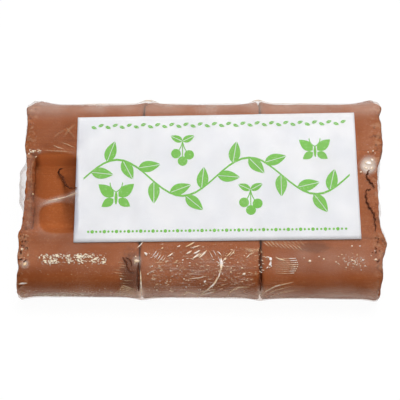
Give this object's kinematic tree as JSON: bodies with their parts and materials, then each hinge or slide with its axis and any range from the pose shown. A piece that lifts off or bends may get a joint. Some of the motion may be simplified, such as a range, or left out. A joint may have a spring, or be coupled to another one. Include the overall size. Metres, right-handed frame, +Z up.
{
  "type": "shrink-wrapped pot feet",
  "caption": "Clay pot feet lying side by side, base up, with a printed card across them, sealed in clear shrink film. They lift a plant pot off the ground.",
  "frame": {"origin": "centre of the bounding box at the table, under the middle foot", "axes": "+X along the row of feet, +Y from the toes at the front to the heels at the back, +Z up"},
  "size_m": [0.168, 0.1056, 0.058],
  "materials": {
    "terracotta": "unglazed fired clay",
    "printed_card": "coated white card with green print",
    "clear_film": "clear shrink film"
  },
  "bodies": {
    "root": {"foot_left": "terracotta", "foot_middle": "terracotta", "foot_right": "terracotta", "label_card": "printed_card", "shrink_film": "clear_film"}
  },
  "joints": []
}
